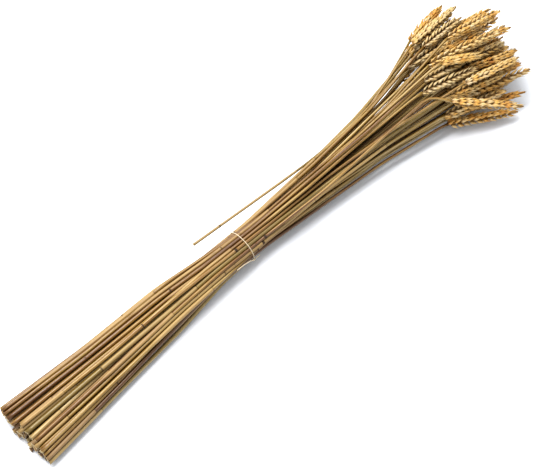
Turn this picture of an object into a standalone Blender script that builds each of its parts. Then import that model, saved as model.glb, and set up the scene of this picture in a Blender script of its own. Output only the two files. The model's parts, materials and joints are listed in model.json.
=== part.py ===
"""A bunch of dried wheat, tied once with thin string and lying on its side.

A stalk and its ear grew as one piece, so each pair is one object. X runs along the bunch from the
cut ends to the ears, Y across it and Z up. The origin is under the middle of the bunch's box.
"""

import math
from dataclasses import dataclass

import bmesh
import bpy
import numpy as np
from mathutils import Vector

# Lengths are in metres, and places along the bunch are counted from the cut ends.
SEED = 5
TIED_STALKS = 57
BUNCH_LENGTH = 0.700

# The stalk, whose radius is drawn at the tie and changes towards its two ends
STALK_RADIUS = (0.00160, 0.00200)
BUTT_SWELL = 1.25
NECK_TAPER = 0.72
STALK_SIDES = 6
STALK_WALL = 0.0006
STALK_HOLLOW = 0.005
UNEVEN_CUT = 0.008
# Where the stalk's rings are, as shares of the way from the cut end to the ear
STALK_STATIONS = (0.0, 0.18, 0.34, 0.45, 0.56, 0.70, 0.85, 1.0)

# The ear: a flat rachis with spikelets left and right, half a pitch out of step
EAR_LENGTH = (0.070, 0.084)
EAR_RADIUS = 0.0058
EAR_TIPS_SPREAD = 0.022
SPIKELETS_A_SIDE = 8
# Bare rachis in pitches: below the lowest pair of spikelets, and in all below and above them
BARE_FOOT = 0.25
BARE_ENDS = 1.25
RACHIS_HALF_DEPTH = 0.0015
RACHIS_HALF_WIDTH = 0.0018
SHOULDER_OUT = 0.0029
SHOULDER_WIDE = 0.0037
SHOULDER_AHEAD = 0.12  # of the pitch
TIP_OUT = 0.0043
TIP_AHEAD = 0.95  # of the pitch
TOP_SPIKELET = (0.0022, 0.0026)
TOP_BELOW_TIP = 0.6  # of the pitch
# How large the spikelets are along the ear, from its foot to its tip
EAR_PROFILE = ((0.0, 0.55), (0.2, 0.95), (0.45, 1.0), (0.75, 0.90), (1.0, 0.62))
# Which way up the flat of an ear may lie
EAR_TURN = (math.radians(-60.0), math.radians(120.0))
SMOOTH_BELOW = math.radians(35.0)

# The tie: one turn of string round the waist, its knot and two short ends
TIE_AT = 0.3025
TIE_RADIUS = 0.0172
TIE_GAP = 0.00045
TIE_SIDES = 24
TIE_HOLDS = 0.012  # how far to either side of it the stalks stay within its circle
TIE_TILT = math.radians(3.0)
STRING_RADIUS = 0.0006
STRING_SIDES = 6
KNOT_ANGLE = math.radians(-161.0)
KNOT_SIZE = (0.0017, 0.0013, 0.0015)
# Each end's route from the knot: how far along the bunch, and how far round from the knot
LONG_END = ((0.0, 0.0), (-0.0030, -9.0), (-0.0070, -19.0), (-0.0140, -25.0), (-0.0240, -27.0))
SHORT_END = ((0.0, 0.0), (0.0040, -1.0), (0.0085, 1.0))
END_LIFT = 0.0006

# The least air between two neighbours, and how the layout is worked out
CLEARANCE = 0.00045
SLICE = 0.0075
FINE_SLICE = 0.005
FINE_FROM = 0.500
ROUNDS = 1500
SHAPING_ROUNDS = 850
# How strongly a stalk is straightened in a round, and drawn to its place: anywhere, or where guided
STIFFNESS = 0.07
HOLD = 0.04
HOLD_GUIDED = 0.40
# Shaping fades away over its rounds, and an ear is kept straight at this share to the end
EAR_STAYS_STRAIGHT = 0.15
# How often the list of close pairs is made again, and how close they are
NEW_NEIGHBOURS = 40
NEIGHBOURHOOD = 0.005
# An ear already takes its room a little before its foot
EAR_ROOM_FROM = -0.02
# How much further than asked a push goes, and the least part of a push that a station takes up
OVERSHOOT = 1.25
LEAST_SHARE = 0.6
SETTLED = 0.00002
TINY = 1e-9
TWIST_AT_BUTTS = math.radians(-18.0)
TWIST_AT_EARS = math.radians(30.0)
TWIST_SPREAD = math.radians(7.0)

# The shape of the whole bunch, on the stalks' centre lines:
# along, half width, half height, height of the middle, how far the middle lies to the left
BUNCH = (
    (0.000, 0.0390, 0.0088, 0.0112, 0.0014),
    (0.121, 0.0278, 0.0094, 0.0128, 0.0038),
    (0.172, 0.0214, 0.0112, 0.0150, 0.0066),
    (0.225, 0.0164, 0.0134, 0.0176, 0.0082),
    (0.279, 0.0153, 0.0150, 0.0190, 0.0066),
    (0.345, 0.0154, 0.0150, 0.0190, 0.0066),
    (0.396, 0.0158, 0.0150, 0.0190, 0.0068),
    (0.459, 0.0168, 0.0165, 0.0205, 0.0060),
    (0.506, 0.0208, 0.0195, 0.0232, 0.0054),
    (0.554, 0.0288, 0.0250, 0.0284, 0.0036),
    (0.590, 0.0405, 0.0302, 0.0336, 0.0010),
    (0.627, 0.0600, 0.0340, 0.0380, -0.0035),
    (0.652, 0.0680, 0.0360, 0.0400, -0.0060),
    (0.700, 0.0740, 0.0370, 0.0420, -0.0080),
)
# How far the tips reach, which falls off with the square of the distance to either side
REACH = 0.690
REACH_MIDDLE = 0.005
REACH_FALL_LEFT = 9.0
REACH_FALL_RIGHT = 6.3

# The ears that make the outline and the top of the head: foot and tip of each
GUIDED_EARS = (
    ((0.5897, 0.0384, 0.048), (0.6695, 0.0496, 0.056)),
    ((0.6182, 0.0371, 0.048), (0.6952, 0.0203, 0.056)),
    ((0.6148, 0.0201, 0.046), (0.6948, 0.0088, 0.052)),
    ((0.6135, 0.0106, 0.040), (0.6965, -0.0017, 0.046)),
    ((0.6173, 0.0075, 0.034), (0.6885, -0.0066, 0.038)),
    ((0.5841, 0.0013, 0.070), (0.6314, -0.0257, 0.074)),
    ((0.6050, -0.0119, 0.032), (0.6900, -0.0263, 0.032)),
    ((0.5955, -0.0198, 0.040), (0.6758, -0.0449, 0.038)),
    ((0.5900, -0.0310, 0.046), (0.6752, -0.0594, 0.042)),
    ((0.5863, -0.0302, 0.026), (0.6596, -0.0692, 0.024)),
    ((0.5659, -0.0339, 0.020), (0.6417, -0.0772, 0.012)),
    ((0.5510, -0.0020, 0.062), (0.6208, -0.0294, 0.066)),
    ((0.5907, 0.0000, 0.058), (0.6677, -0.0240, 0.058)),
    ((0.5797, -0.0126, 0.052), (0.6653, -0.0450, 0.050)),
    ((0.5664, 0.0328, 0.052), (0.6356, 0.0250, 0.060)),
    ((0.5624, -0.0008, 0.068), (0.6249, -0.0102, 0.072)),
    ((0.5920, 0.0166, 0.062), (0.6663, 0.0025, 0.066)),
    ((0.5954, 0.0284, 0.058), (0.6583, 0.0314, 0.060)),
    ((0.5873, 0.0488, 0.038), (0.6497, 0.0545, 0.044)),
)
# One ear hangs over to the right from a kink in its neck: kink, foot and tip
BENT_EAR = ((0.5565, -0.0167, 0.065), (0.5675, -0.0372, 0.062), (0.6348, -0.0870, 0.038))
# One thin stalk has slipped out of the tie and lies on the bunch's left: its route and its tip
LOOSE_RADIUS = 0.00130
LOOSE_ROUTE = (
    (0.2624, 0.0370, 0.0310),
    (0.4291, 0.0250, 0.0335),
    (0.4851, 0.0264, 0.0365),
    (0.5361, 0.0350, 0.0400),
    (0.6003, 0.0525, 0.0450),
)
LOOSE_TIP = (0.6620, 0.0640, 0.0510)

STRAW_COLOUR = (0.58, 0.38, 0.15, 1.0)
STRING_COLOUR = (0.80, 0.77, 0.70, 1.0)
UP = Vector((0.0, 0.0, 1.0))


@dataclass
class Layout:
    """Where the stalks run: one row for each, with the stations from its cut end to its ear's tip."""

    along: np.ndarray  # stalk, station
    across: np.ndarray  # stalk, station, (y, z)
    radius: np.ndarray  # of each stalk, at the tie
    tied: np.ndarray  # False on the loose stalk
    kinked: np.ndarray  # True on the stalk whose neck is bent
    held: np.ndarray  # stalk, station: how strongly each is drawn to where it should be

    @property
    def foot(self):
        """Where each ear starts."""
        return self.along[:, -3]

    @property
    def tip(self):
        """Where each ear ends."""
        return self.along[:, -1]


def bunch_shape(along):
    """The bunch's half width, half height, middle height and middle's place to the left."""
    table = np.array(BUNCH).T
    return [np.interp(along, table[0], column) for column in table[1:]]


def plan_layout():
    """Places the stalks by a sunflower rule in the bunch's outline, before they make room."""
    rng = np.random.default_rng(SEED)
    place = np.arange(TIED_STALKS) + 0.5
    ring = np.sqrt(place / TIED_STALKS)
    turn = place * math.pi * (3 - math.sqrt(5))
    ear_length = rng.uniform(*EAR_LENGTH, TIED_STALKS)
    radius = rng.uniform(*STALK_RADIUS, TIED_STALKS)
    butt = rng.uniform(0.0, UNEVEN_CUT, TIED_STALKS)
    twist_at_butt = TWIST_AT_BUTTS + rng.normal(0, TWIST_SPREAD, TIED_STALKS)
    twist_at_ear = TWIST_AT_EARS + rng.normal(0, TWIST_SPREAD, TIED_STALKS)

    half_width, _, _, left = bunch_shape(REACH)
    side = left + half_width * ring * np.cos(turn + twist_at_ear) - REACH_MIDDLE
    fall = np.where(side > 0, REACH_FALL_LEFT, REACH_FALL_RIGHT)
    tip = REACH - fall * side**2 - rng.uniform(0, EAR_TIPS_SPREAD, TIED_STALKS)
    foot = tip - ear_length
    stations = butt[:, None] + (foot - butt)[:, None] * np.array(STALK_STATIONS)
    along = np.column_stack([stations, (foot + tip) / 2, tip])

    before_tie = np.clip((TIE_AT - along) / TIE_AT, 0, None)
    past_tie = np.clip((along - TIE_AT) / (REACH - TIE_AT), 0, None)
    angle = turn[:, None] + twist_at_butt[:, None] * before_tie + twist_at_ear[:, None] * past_tie
    half_width, half_height, middle, left = bunch_shape(along)
    across = np.stack(
        [
            left + half_width * ring[:, None] * np.cos(angle),
            middle + half_height * ring[:, None] * np.sin(angle),
        ],
        axis=-1,
    )
    return Layout(
        along=along,
        across=across,
        radius=radius,
        tied=np.ones(TIED_STALKS, bool),
        kinked=np.zeros(TIED_STALKS, bool),
        held=np.full(along.shape, HOLD),
    )


def restation(layout, stalk, foot, tip):
    """Gives a stalk's ear another foot and tip, and spaces its other stations between."""
    butt = layout.along[stalk, 0]
    layout.along[stalk, :-2] = butt + (foot[0] - butt) * np.array(STALK_STATIONS)
    layout.along[stalk, -2:] = (foot[0] + tip[0]) / 2, tip[0]
    half_width, half_height, middle, left = bunch_shape(layout.along[stalk, :-3])
    wide = (foot[1] - bunch_shape(foot[0])[3]) / bunch_shape(foot[0])[0]
    high = (foot[2] - bunch_shape(foot[0])[2]) / bunch_shape(foot[0])[1]
    past_tie = layout.along[stalk, :-3] > TIE_AT
    layout.across[stalk, :-3][past_tie, 0] = (left + half_width * wide)[past_tie]
    layout.across[stalk, :-3][past_tie, 1] = (middle + half_height * high)[past_tie]
    layout.across[stalk, -3:, 0] = foot[1], (foot[1] + tip[1]) / 2, tip[1]
    layout.across[stalk, -3:, 1] = foot[2], (foot[2] + tip[2]) / 2, tip[2]
    layout.held[stalk, -3:] = HOLD_GUIDED


def place_guided_ears(layout):
    """Gives each guided ear, and the bent one, to the free stalk that ends nearest to it."""
    free = np.ones(len(layout.along), bool)
    kink, foot, tip = BENT_EAR
    for ear_foot, ear_tip in (*GUIDED_EARS, (foot, tip)):
        reach = np.linalg.norm(layout.across[:, -1] - np.array(ear_tip[1:]), axis=1)
        stalk = int(np.argmin(np.where(free, reach, np.inf)))
        free[stalk] = False
        restation(layout, stalk, ear_foot, ear_tip)
    layout.kinked[stalk] = True
    layout.along[stalk, -4] = kink[0]
    layout.across[stalk, -4] = kink[1:]
    layout.held[stalk, -4] = HOLD_GUIDED


def add_loose_stalk(layout):
    """Adds the thin stalk that the string doesn't hold."""
    route = np.array(LOOSE_ROUTE)
    start, foot = route[0, 0], route[-1, 0]
    stations = start + (foot - start) * np.array(STALK_STATIONS)
    along = np.append(stations, ((foot + LOOSE_TIP[0]) / 2, LOOSE_TIP[0]))
    whole = np.vstack([route, LOOSE_TIP])
    across = np.column_stack([np.interp(along, whole[:, 0], whole[:, i]) for i in (1, 2)])
    return Layout(
        along=np.vstack([layout.along, along]),
        across=np.concatenate([layout.across, across[None]]),
        radius=np.append(layout.radius, LOOSE_RADIUS),
        tied=np.append(layout.tied, False),
        kinked=np.append(layout.kinked, False),
        held=np.vstack([layout.held, np.full(len(along), HOLD_GUIDED)]),
    )


def stalk_radius(layout, along):
    """The bare stalk's radius at a place along the bunch, for one stalk or a row for each."""
    swell = np.clip((TIE_AT - along) / TIE_AT, 0, 1) * (BUTT_SWELL - 1)
    taper = np.clip((along - TIE_AT) / (layout.foot[:, None] - TIE_AT), 0, 1) * (1 - NECK_TAPER)
    return layout.radius[:, None] * (1 + swell - taper)


def settle(layout):
    """Pushes the stalks apart, into the tie and off the floor, until none touches another.

    The bunch is cut across into slices. In each one a stalk is a disc, and two discs that lean
    the same way are as far apart as their stalks are, square to the way they run.
    """
    slices = np.concatenate(
        [np.arange(0.0, FINE_FROM, SLICE), np.arange(FINE_FROM, BUNCH_LENGTH, FINE_SLICE)]
    )
    count, stations = layout.along.shape
    between = np.zeros((count, len(slices), stations))
    slope_of = np.zeros_like(between)
    for station in range(stations - 1):
        start, end = layout.along[:, station, None], layout.along[:, station + 1, None]
        inside = (slices >= start) & (slices < end)
        share = (slices - start) / (end - start)
        between[..., station] += inside * (1 - share)
        between[..., station + 1] += inside * share
        slope_of[..., station] -= inside / (end - start)
        slope_of[..., station + 1] += inside / (end - start)
    there = between.sum(2) > 0.5

    radius = stalk_radius(layout, slices[None])
    ear_share = (slices - layout.foot[:, None]) / (layout.tip - layout.foot)[:, None]
    ear_radius = EAR_RADIUS * np.interp(ear_share, *np.array(EAR_PROFILE).T)
    radius = np.where(ear_share > EAR_ROOM_FROM, np.maximum(radius, ear_radius), radius)

    first, second = np.triu_indices(count, 1)
    need = radius[first] + radius[second] + CLEARANCE
    both = there[first] & there[second]
    in_tie = np.abs(slices - TIE_AT) < TIE_HOLDS
    _, _, tie_height, tie_left = bunch_shape(TIE_AT)
    tie_centre = np.array([tie_left, tie_height])
    wanted = layout.across.copy()
    bends = np.ones((count, stations - 2, 1))
    bends[layout.kinked, -3:-1] = 0
    least_ease = np.zeros((stations - 2, 1))
    least_ease[-1] = EAR_STAYS_STRAIGHT
    before, here, after = (layout.along[:, i : stations - 2 + i, None] for i in range(3))
    halfway = (here - before) / (after - before)
    gives = HOLD / layout.held.mean(1)

    for turn in range(ROUNDS):
        across = layout.across
        ease = max(0.0, 1 - turn / SHAPING_ROUNDS)
        chord = across[:, :-2] * (1 - halfway) + across[:, 2:] * halfway
        straighter = STIFFNESS * bends * np.maximum(least_ease, ease)
        across[:, 1:-1] += straighter * (chord - across[:, 1:-1])
        across += layout.held[..., None] * ease * (wanted - across)
        centre = between @ across
        slope = slope_of @ across
        if turn % NEW_NEIGHBOURS == 0:
            apart = np.linalg.norm(centre[first] - centre[second], axis=-1) - need
            near = np.where(both, apart, NEIGHBOURHOOD).min(1) < NEIGHBOURHOOD
            one, other, enough, meet = first[near], second[near], need[near], both[near]
        gap = centre[one] - centre[other]
        lean = (slope[one] + slope[other]) / 2
        along_lean = (gap * lean).sum(-1) ** 2 / (1 + (lean**2).sum(-1))
        distance = np.sqrt((gap**2).sum(-1) - along_lean) + TINY
        overlap = np.where(meet, enough - distance, 0).clip(0)
        pair, cut = np.nonzero(overlap)
        push = gap[pair, cut] * (overlap / distance)[pair, cut, None]
        moved = np.zeros_like(centre)
        presses = np.zeros(there.shape)
        total = (gives[one] + gives[other])[pair]
        for side, way in ((one[pair], 1), (other[pair], -1)):
            np.add.at(moved, (side, cut), push * (way * gives[side] / total)[:, None])
            np.add.at(presses, (side, cut), 1)
        moved /= np.sqrt(presses.clip(1))[..., None]

        out = centre[:, in_tie] - tie_centre
        off = np.linalg.norm(out, axis=-1) + TINY
        excess = (off - (TIE_RADIUS - radius[:, in_tie])).clip(0) * layout.tied[:, None]
        moved[:, in_tie] -= out * (excess / off)[..., None]
        sunk = (radius - centre[..., 1]).clip(0) * there
        moved[..., 1] += sunk

        back = between.transpose(0, 2, 1)
        carried = back @ (np.abs(moved).sum(-1, keepdims=True) > 0)
        layout.across = across + OVERSHOOT * back @ moved / carried.clip(LEAST_SHARE)
        settled = max(overlap.max(), excess.max(), sunk.max())
        if turn > SHAPING_ROUNDS and settled < SETTLED:
            break
    print(f"layout settled to {1000 * settled:.3f} mm in {turn + 1} rounds")


def ring_axes(ahead):
    """The directions square to the way a stalk runs: to its left, and upwards."""
    left = UP.cross(ahead).normalized()
    return left, ahead.cross(left)


def place_ring(verts, centre, ahead, corners):
    """Moves a ring's corners to their places, each given as left, up and ahead of the centre."""
    left, up = ring_axes(ahead)
    for vert, (to_left, upwards, onwards) in zip(verts, corners):
        vert.co = centre + left * to_left + up * upwards + ahead * onwards


def round_corners(radius, turn, sides):
    """The corners of a stalk's ring, with a flat side at each end of the left-right line."""
    angles = [turn + math.tau * (corner + 0.5) / sides for corner in range(sides)]
    return [(radius * math.cos(angle), radius * math.sin(angle), 0.0) for angle in angles]


def start_tube(bm, sides):
    """Adds a closed prism and returns its first ring's corners, first face and last face."""
    made = bmesh.ops.create_cone(
        bm, cap_ends=True, segments=sides, radius1=1, radius2=1, depth=1
    )["verts"]
    ends = [face for face in made[0].link_faces if face.normal.z < -0.5]
    ends += {face for vert in made for face in vert.link_faces if face.normal.z > 0.5}
    first, last = ends
    ring = [
        next(edge.other_vert(vert) for edge in vert.link_edges if edge.other_vert(vert) in first.verts)
        for vert in last.verts
    ]
    return ring, first, last


def extend(bm, end):
    """Extrudes a tube's end face and returns the new one, whose corners keep their order."""
    return bmesh.ops.extrude_discrete_faces(bm, faces=[end])["faces"][0]


def headings(points):
    """The way a line of points runs at each of them."""
    steps = [(after - before).normalized() for before, after in zip(points, points[1:])]
    inner = [(before + after).normalized() for before, after in zip(steps, steps[1:])]
    return [steps[0], *inner, steps[-1]]


def build_tube(bm, points, rings, sides):
    """A closed tube along points, with a ring of corners at each. Returns its two end faces."""
    ways = headings(points)
    ring, first, last = start_tube(bm, sides)
    place_ring(ring, points[0], ways[0], rings[0])
    for place, (point, way, corners) in enumerate(zip(points[1:], ways[1:], rings[1:])):
        if place:
            last = extend(bm, last)
        place_ring(last.verts, point, way, corners)
    return first, last


def rachis_corners(share, turn, ahead):
    """A ring of the ear's core, whose one side is ahead of its middle and the other behind."""
    size = np.interp(share, *np.array(EAR_PROFILE).T)
    cos, sin = math.cos(turn), math.sin(turn)
    corners = []
    for out, wide in ((1, 1), (-1, 1), (-1, -1), (1, -1)):
        outwards = out * RACHIS_HALF_DEPTH * size
        sideways = wide * RACHIS_HALF_WIDTH * size
        corners.append(
            (outwards * cos - sideways * sin, outwards * sin + sideways * cos, out * ahead)
        )
    return corners


def raise_spikelet(bm, wall, ahead, pitch, size):
    """Raises a spikelet from a wall of the core: two broad shoulders and a tip that leans on."""
    foot = wall.calc_center_median()
    outward = wall.normal.copy()
    sideways = ahead.cross(outward)
    *shoulders, first_tip, second_tip = sorted(
        extend(bm, wall).verts, key=lambda vert: vert.co.dot(ahead)
    )
    for vert in shoulders:
        side = math.copysign(SHOULDER_WIDE * size, (vert.co - foot).dot(sideways))
        vert.co = foot + ahead * SHOULDER_AHEAD * pitch + outward * SHOULDER_OUT * size + sideways * side
    tip = foot + ahead * TIP_AHEAD * pitch + outward * TIP_OUT * size
    bmesh.ops.pointmerge(bm, verts=[first_tip, second_tip], merge_co=tip)


def build_ear(bm, foot, middle, tip, turn):
    """An ear on its curved axis. Returns the face that it stands on."""
    pitches = SPIKELETS_A_SIDE + BARE_ENDS
    pitch = (tip - foot).length / pitches

    def axis(share):
        return (
            foot * (1 - share) * (1 - 2 * share)
            + middle * 4 * share * (1 - share)
            + tip * share * (2 * share - 1)
        )

    def way(share):
        return (foot * (4 * share - 3) + middle * (4 - 8 * share) + tip * (4 * share - 1)).normalized()

    ring, first, last = start_tube(bm, 4)
    walls = []
    for level in range(SPIKELETS_A_SIDE + 1):
        share = (level + BARE_FOOT) / pitches
        if level > 1:
            last = extend(bm, last)
        # The foot stays square to the neck that joins it
        corners = rachis_corners(share, turn, pitch / 4 if level else 0.0)
        place_ring(last.verts if level else ring, axis(share), way(share), corners)
        if level:
            walls += [(last.loops[corner].link_loop_radial_next.face, share) for corner in (1, 3)]
    last = extend(bm, last)
    share = 1 - TOP_BELOW_TIP / pitches
    size = np.interp(share, *np.array(EAR_PROFILE).T)
    deep, wide = (size * half for half in TOP_SPIKELET)
    cos, sin = math.cos(turn), math.sin(turn)
    corners = [
        (out * deep * cos - side * wide * sin, out * deep * sin + side * wide * cos, 0.0)
        for out, side in ((1, 1), (-1, 1), (-1, -1), (1, -1))
    ]
    place_ring(last.verts, axis(share), way(share), corners)
    bmesh.ops.poke(bm, faces=[last])["verts"][0].co = tip
    bm.normal_update()
    for wall, share in walls:
        size = np.interp(share - 0.5 / pitches, *np.array(EAR_PROFILE).T)
        raise_spikelet(bm, wall, way(share), pitch, size)
    return first


def build_stalk(layout, stalk, turn):
    """One stalk from its hollow cut end to the tip of its ear, in one closed body."""
    bm = bmesh.new()
    points = [
        Vector((along, *across))
        for along, across in zip(layout.along[stalk], layout.across[stalk])
    ]
    stem = points[:-2]
    radii = stalk_radius(layout, layout.along[:, :-2])[stalk]
    flat_down = math.pi / STALK_SIDES
    rings = []
    for share, radius in zip(STALK_STATIONS, radii):
        twist = max(0.0, share - STALK_STATIONS[1]) / (1 - STALK_STATIONS[1])
        rings.append(round_corners(radius, flat_down + (turn - flat_down) * twist, STALK_SIDES))
    cut, neck = build_tube(bm, stem, rings, STALK_SIDES)

    ahead = (stem[1] - stem[0]).normalized()
    bmesh.ops.inset_individual(bm, faces=[cut], thickness=STALK_WALL, use_even_offset=True)
    floor = extend(bm, cut)
    bmesh.ops.translate(bm, verts=list(floor.verts), vec=ahead * STALK_HOLLOW)

    foot = build_ear(bm, *points[-3:], turn)
    joined = [*neck.edges, *foot.edges]
    bmesh.ops.delete(bm, geom=[neck, foot], context="FACES_ONLY")
    bmesh.ops.bridge_loops(bm, edges=joined)
    bmesh.ops.recalc_face_normals(bm, faces=bm.faces)
    if bm.calc_volume(signed=True) < 0:
        bmesh.ops.reverse_faces(bm, faces=bm.faces)
    return bm


def add_object(name, bm, material):
    """Makes an object of a finished mesh."""
    mesh = bpy.data.meshes.new(name)
    bm.to_mesh(mesh)
    bm.free()
    mesh.shade_smooth()
    mesh.set_sharp_from_angle(angle=SMOOTH_BELOW)
    mesh.materials.append(material)
    made = bpy.data.objects.new(name, mesh)
    bpy.context.collection.objects.link(made)
    return made


def add_material(name, colour, roughness):
    """A plain matt material."""
    material = bpy.data.materials.new(name)
    material.use_nodes = True
    shader = material.node_tree.nodes["Principled BSDF"]
    shader.inputs["Base Color"].default_value = colour
    shader.inputs["Roughness"].default_value = roughness
    return material


def on_tie(along, angle, radius):
    """A place round the tie's axis."""
    _, _, height, left = bunch_shape(TIE_AT)
    return Vector(
        (TIE_AT + along, left + radius * math.cos(angle), height + radius * math.sin(angle))
    )


def build_string_end(route):
    """One loose end of the string, from inside the knot."""
    bm = bmesh.new()
    radius = TIE_RADIUS + TIE_GAP + STRING_RADIUS + END_LIFT
    points = [on_tie(along, KNOT_ANGLE + math.radians(round_), radius) for along, round_ in route]
    corners = round_corners(STRING_RADIUS, 0.0, STRING_SIDES)
    build_tube(bm, points, [corners] * len(points), STRING_SIDES)
    return bm


def add_tie(material):
    """The turn of string, with its knot and two ends joined to it."""
    ring_radius = TIE_RADIUS + TIE_GAP + STRING_RADIUS
    centre = on_tie(0.0, 0.0, 0.0)
    axis = Vector((math.cos(TIE_TILT), 0.0, math.sin(TIE_TILT)))
    bm = bmesh.new()
    bmesh.ops.create_circle(bm, segments=STRING_SIDES, radius=STRING_RADIUS)
    bmesh.ops.rotate(bm, verts=bm.verts, matrix=axis.to_track_quat("Y", "Z").to_matrix())
    bmesh.ops.translate(bm, verts=bm.verts, vec=centre + axis.orthogonal().normalized() * ring_radius)
    bmesh.ops.spin(
        bm, geom=bm.edges[:], cent=centre, axis=axis, angle=math.tau, steps=TIE_SIDES, use_merge=True
    )
    bmesh.ops.remove_doubles(bm, verts=bm.verts, dist=1e-6)
    bmesh.ops.recalc_face_normals(bm, faces=bm.faces)
    tie = add_object("tie_string", bm, material)

    knot = bmesh.new()
    bmesh.ops.create_icosphere(knot, subdivisions=1, radius=1)
    bmesh.ops.scale(knot, verts=knot.verts, vec=KNOT_SIZE)
    bmesh.ops.translate(
        knot, verts=knot.verts, vec=on_tie(0.0, KNOT_ANGLE, ring_radius + STRING_RADIUS)
    )
    parts = {"knot": knot, "long_end": build_string_end(LONG_END), "short_end": build_string_end(SHORT_END)}
    for name, mesh in parts.items():
        part = add_object(name, mesh, material)
        part.hide_render = True
        part.display_type = "WIRE"
        union = tie.modifiers.new(name, "BOOLEAN")
        union.operation = "UNION"
        union.object = part
    return tie


def rest_on_floor(layout):
    """Lifts what the settling left a hair low, and lays one cut end's flat side on the floor."""
    stem = stalk_radius(layout, layout.along[:, :-2])
    ears = EAR_RADIUS * np.interp((0.5, 1.0), *np.array(EAR_PROFILE).T)
    radius = np.column_stack([stem, np.tile(ears, (len(stem), 1))])
    layout.across[..., 1] = np.maximum(layout.across[..., 1], radius)
    above = layout.across[:, :2, 1] - radius[:, :2]
    lowest = int(np.argmin(above.sum(1)))
    layout.across[lowest, :2, 1] = radius[lowest, :2] * math.cos(math.pi / STALK_SIDES)
    return lowest


def put_origin_below_middle(objects):
    """Shifts the meshes so that the origin is under the middle of the bunch's box."""
    bpy.context.view_layer.update()
    depsgraph = bpy.context.evaluated_depsgraph_get()
    corners = [
        vert.co.copy() for made in objects for vert in made.evaluated_get(depsgraph).data.vertices
    ]
    low, high = (Vector(pick(corner[i] for corner in corners) for i in range(3)) for pick in (min, max))
    shift = Vector((-(low.x + high.x) / 2, -(low.y + high.y) / 2, -low.z))
    for made in bpy.data.objects:
        for vert in made.data.vertices:
            vert.co += shift
    return shift


def main():
    """Builds the bunch in an empty scene."""
    for old in list(bpy.data.objects):
        bpy.data.objects.remove(old)
    layout = plan_layout()
    place_guided_ears(layout)
    layout = add_loose_stalk(layout)
    settle(layout)
    lowest = rest_on_floor(layout)

    straw = add_material("straw", STRAW_COLOUR, 0.6)
    string = add_material("string", STRING_COLOUR, 0.9)
    rng = np.random.default_rng(SEED + 1)
    turns = rng.uniform(*EAR_TURN, len(layout.along))
    names = [f"stalk_{number + 1:02d}" for number in range(TIED_STALKS)] + ["loose_stalk"]
    made = [
        add_object(name, build_stalk(layout, number, turns[number]), straw)
        for number, name in enumerate(names)
    ]
    made.append(add_tie(string))
    shift = put_origin_below_middle(made)
    facet = [Vector((layout.along[lowest, i], layout.across[lowest, i, 0], 0)) for i in (0, 1)]
    middle = (facet[0] + facet[1]) / 2 + shift
    print(f"{names[lowest]} rests on a flat side whose middle is at {middle.x:.4f}, {middle.y:.4f}")


if __name__ == "__main__":
    main()
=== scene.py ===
"""Dresses a tied bunch of dried wheat: straws, ears and string, laid on a pale floor.

Every stalk follows the course that its CAD node takes. X runs along the bunch from the cut ends to
the ears, Y across it and Z up.
"""

import json
import math
from dataclasses import dataclass

import bmesh
import bpy
import numpy as np
from bpy.props import FloatProperty, FloatVectorProperty, IntProperty, PointerProperty
from mathutils import Matrix, Vector

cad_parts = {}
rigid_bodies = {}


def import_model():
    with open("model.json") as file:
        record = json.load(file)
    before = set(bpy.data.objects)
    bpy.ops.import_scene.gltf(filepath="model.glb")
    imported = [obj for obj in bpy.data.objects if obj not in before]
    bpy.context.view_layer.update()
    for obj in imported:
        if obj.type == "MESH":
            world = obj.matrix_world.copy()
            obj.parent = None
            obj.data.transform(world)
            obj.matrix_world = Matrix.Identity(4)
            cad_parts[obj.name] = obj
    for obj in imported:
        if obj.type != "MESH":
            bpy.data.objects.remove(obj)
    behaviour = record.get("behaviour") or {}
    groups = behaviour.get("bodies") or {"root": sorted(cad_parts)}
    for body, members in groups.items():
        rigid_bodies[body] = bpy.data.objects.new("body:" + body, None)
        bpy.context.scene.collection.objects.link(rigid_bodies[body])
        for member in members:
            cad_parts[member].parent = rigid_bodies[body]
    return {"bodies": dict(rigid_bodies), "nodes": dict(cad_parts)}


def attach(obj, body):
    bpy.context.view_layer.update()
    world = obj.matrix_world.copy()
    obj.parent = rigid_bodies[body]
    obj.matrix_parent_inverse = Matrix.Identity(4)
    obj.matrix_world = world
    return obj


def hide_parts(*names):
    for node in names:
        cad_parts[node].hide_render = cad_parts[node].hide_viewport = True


bl_info = {
    "name": "Tied wheat bunch",
    "version": (1, 0, 0),
    "blender": (4, 5, 0),
    "location": "View3D > Sidebar > Wheat",
    "description": "Builds the straws, ears and string of a bunch of dried wheat",
    "category": "Add Mesh",
}

# Lengths are in metres, here and in the settings below
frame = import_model()
# The objects that stay when the rest of the opened file goes
KEPT = {made.name for made in (*frame["nodes"].values(), *frame["bodies"].values())}
TIE = "tie_string"
STALKS = sorted(name for name in frame["nodes"] if name != TIE)
SEED = 11
UP = Vector((0.0, 0.0, 1.0))

# How a node is measured: planes square to X cut it every few millimetres
WELD = 1e-6  # corners closer than this are one
CUT_STEP = 0.003
FIRST_CUT = 0.0004
EAR_PART = 0.6  # the ear starts beyond this share of the node's length
BARE_MOST = 0.0020  # half a straw there is thinner than this, and half an ear thicker
EAR_SLICES = 9  # the cuts within one of these slices of the middle show how an ear lies
SMOOTH_CUTS = 7

# A node's six flat sides lie a little inside the round straw that they stand for
ROUND_OUT = 1.155

# A prism's face whose normal's Z is beyond this is one of its ends
FACES_UP = 0.5
# Where the materials of cut ends and husks stand in a stalk's list, after the straw's
CUT_END, HUSK = 1, 2

# Straws
STRAW_SIDES = 12
RING_STEP = 0.009
STRAW_WALL = 0.00065
HOLLOW_DEPTH = 0.009
SLANTED_CUT = 0.35  # of the radius
# Joints: how far below the ear they grow, and the chance that no sheath hides one
JOINTS_BELOW_EAR = ((0.300, 0.55), (0.455, 0.35))
JOINT_SPREAD = 0.030
# How dark a joint is, of the darkest
JOINT_DEPTH = (0.20, 1.0)
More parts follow.
